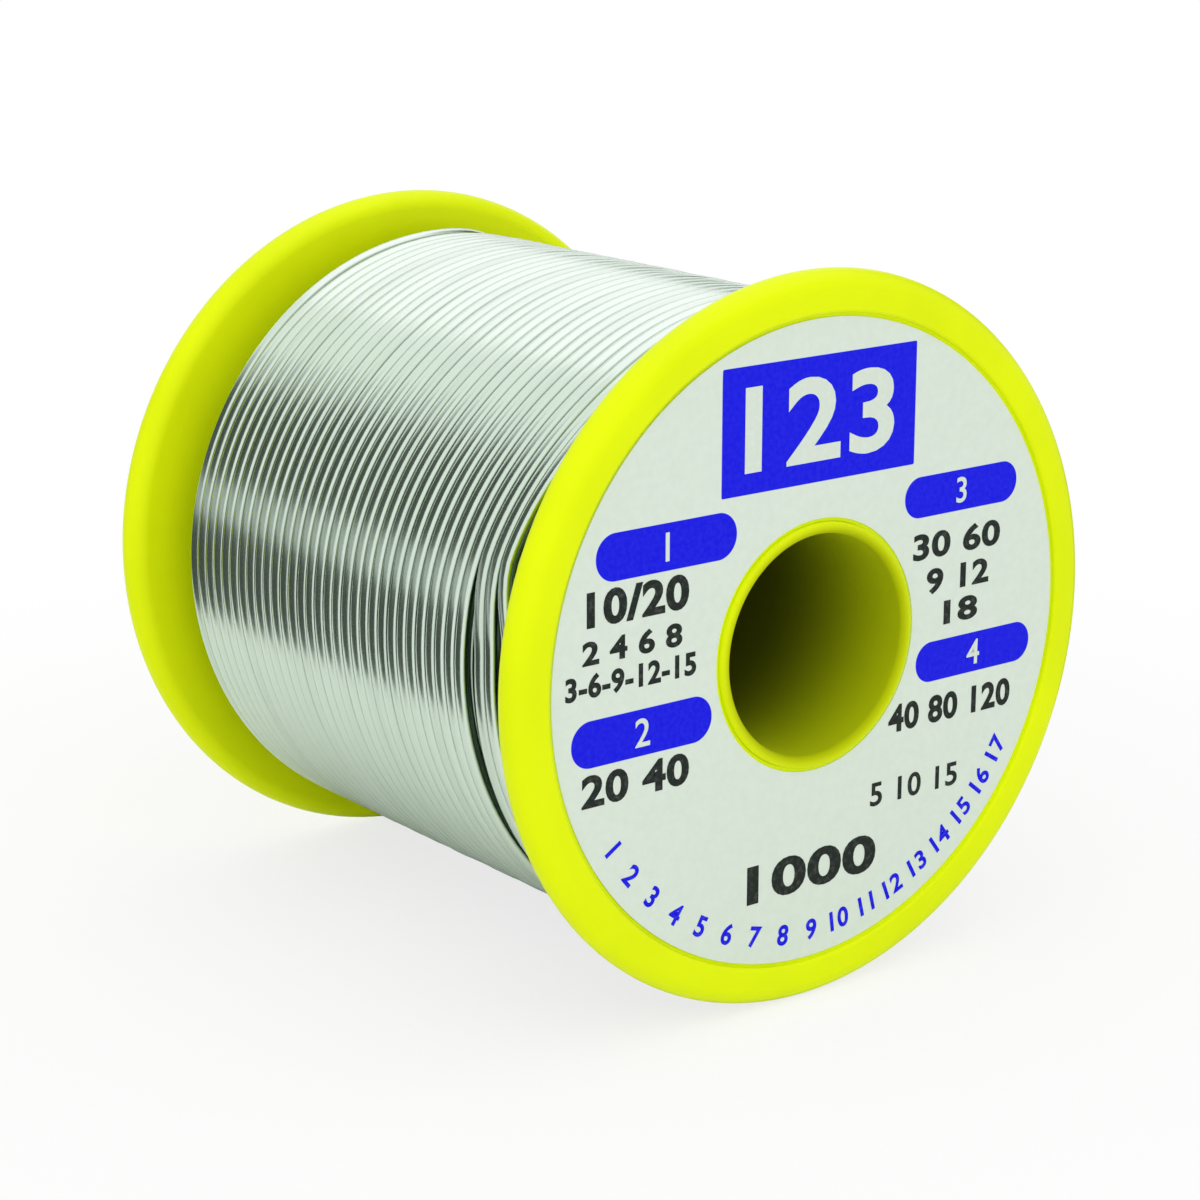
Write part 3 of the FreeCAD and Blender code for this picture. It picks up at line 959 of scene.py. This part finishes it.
def pale_floor():
    """Pale floor: a plain matt surface near the spool, and the backdrop's white further away.

    The white is seen by the camera, in reflections and through glass, and less of it close to the spool, so the
    floor keeps the spool's shadow.
    """
    material, nodes, shader = new_material("pale_floor", FLOOR_COLOUR, 0.9, Specular_IOR_Level=0.1)
    place = nodes.add("ShaderNodeSeparateXYZ", {0: nodes.place()})
    distance = nodes.length(place.outputs["X"], place.outputs["Y"])
    path = nodes.add("ShaderNodeLightPath")
    mirrored = nodes.math("MAXIMUM", path.outputs["Is Glossy Ray"], path.outputs["Is Transmission Ray"])
    seen = nodes.between(distance, FLOOR_WHITE_FROM, FLOOR_WHITE_TO, to_low=FLOOR_WHITE_NEAR)
    reflected = nodes.between(distance, FLOOR_WHITE_FROM, FLOOR_WHITE_TO)
    share = nodes.math(
        "ADD",
        nodes.math("MULTIPLY", path.outputs["Is Camera Ray"], seen),
        nodes.math("MULTIPLY", mirrored, reflected),
    )
    white = nodes.add("ShaderNodeEmission", {"Color": opaque(WHITE), "Strength": 1.0})
    mix = nodes.add("ShaderNodeMixShader", {0: share, 1: shader.outputs["BSDF"], 2: white.outputs["Emission"]})
    nodes.tree.links.new(mix.outputs["Shader"], nodes.tree.nodes["Material Output"].inputs["Surface"])
    return material


def floor():
    """A plain pale floor that the rims lie on."""
    side, height = FLOOR_SIDE, cad_low[2]
    corners = [(-side, -side, height), (side, -side, height), (side, side, height), (-side, side, height)]
    plane = linked_mesh("floor", corners, [[0, 1, 2, 3]])
    plane.data.materials.append(pale_floor())


def upright_cards(distance, low, high):
    """A card on each side of the spool, along it and upright, between two heights. The right one is shorter."""
    return [
        [(side, CARD_FRONT, low), (side, back, low), (side, back, high), (side, CARD_FRONT, high)]
        for side, back in ((-distance, LEFT_CARD_BACK), (distance, RIGHT_CARD_BACK))
    ]


def reflected_cards(name, colour, corners):
    """Plain cards that are only seen in glossy surfaces. Each gives off an even light of the colour written."""
    material, _, shader = new_material(name, (0.0, 0.0, 0.0), 1.0, Specular_IOR_Level=0.0)
    shader.inputs["Emission Color"].default_value = opaque(colour)
    shader.inputs["Emission Strength"].default_value = 1.0
    vertices = [corner for card in corners for corner in card]
    faces = [list(range(start, start + 4)) for start in range(0, len(vertices), 4)]
    cards = linked_mesh(name, vertices, faces)
    cards.data.materials.append(material)
    cards.visible_camera = False
    cards.visible_diffuse = False
    cards.visible_shadow = False
    cards.visible_transmission = False


def soft_box(name, azimuth, elevation, distance, size, power):
    """A rectangular lamp that looks at the spool. Glossy surfaces don't show it."""
    back = towards(azimuth, elevation)
    data = bpy.data.lights.new(name, "AREA")
    data.shape = "RECTANGLE"
    data.size, data.size_y = size
    data.energy = power
    lamp = bpy.data.objects.new(name, data)
    lamp.location = back * distance
    lamp.rotation_mode = "QUATERNION"
    lamp.rotation_quaternion = Vector(back).to_track_quat("Z", "Y")
    lamp.visible_glossy = False
    bpy.context.scene.collection.objects.link(lamp)


def pale_world():
    """White where the camera, a reflection or glass looks past the object, and a softer level for its light."""
    world = bpy.data.worlds.new("studio")
    bpy.context.scene.world = world
    world.use_nodes = True
    nodes = Nodes(world.node_tree)
    background = world.node_tree.nodes["Background"]
    background.inputs["Color"].default_value = opaque(WHITE)
    path = nodes.add("ShaderNodeLightPath")
    seen = nodes.math("MAXIMUM", path.outputs["Is Camera Ray"], path.outputs["Is Glossy Ray"])
    seen = nodes.math("MAXIMUM", seen, path.outputs["Is Transmission Ray"])
    strength = nodes.between(seen, 0.0, 1.0, to_low=WORLD_LIGHT)
    world.node_tree.links.new(strength, background.inputs["Strength"])


def camera():
    """The photograph's camera: it looks at the spool, from a little to the right of its middle and below it."""
    back = towards(CAMERA_AZIMUTH, CAMERA_ELEVATION)
    azimuth = math.radians(CAMERA_AZIMUTH)
    right = np.array([math.cos(azimuth), math.sin(azimuth), 0.0])
    up = np.cross(back, right)
    place = CAMERA_DISTANCE * back + CAMERA_RIGHT * right + CAMERA_UP * up
    data = bpy.data.cameras.new("camera")
    data.sensor_width = SENSOR_WIDTH
    data.lens = FOCAL_LENGTH
    data.clip_start, data.clip_end = 0.01, 20.0
    eye = bpy.data.objects.new("camera", data)
    axes = Matrix((right.tolist(), up.tolist(), back.tolist())).transposed().to_4x4()
    axes.translation = place.tolist()
    eye.matrix_world = axes
    bpy.context.scene.collection.objects.link(eye)
    bpy.context.scene.camera = eye


floor()
reflected_cards("dark_cards", DARK, upright_cards(*LOW_CARDS) + upright_cards(*HIGH_CARDS))
reflected_cards("grey_cards", GREY, upright_cards(*SLIT_CARDS) + upright_cards(*UPPER_CARDS))
reflected_cards("bright_card", BRIGHT, [OVERHEAD_CARD])
pale_world()
for lamp in LAMPS:
    soft_box(*lamp)
camera()
bpy.context.scene.view_settings.view_transform = "Standard"
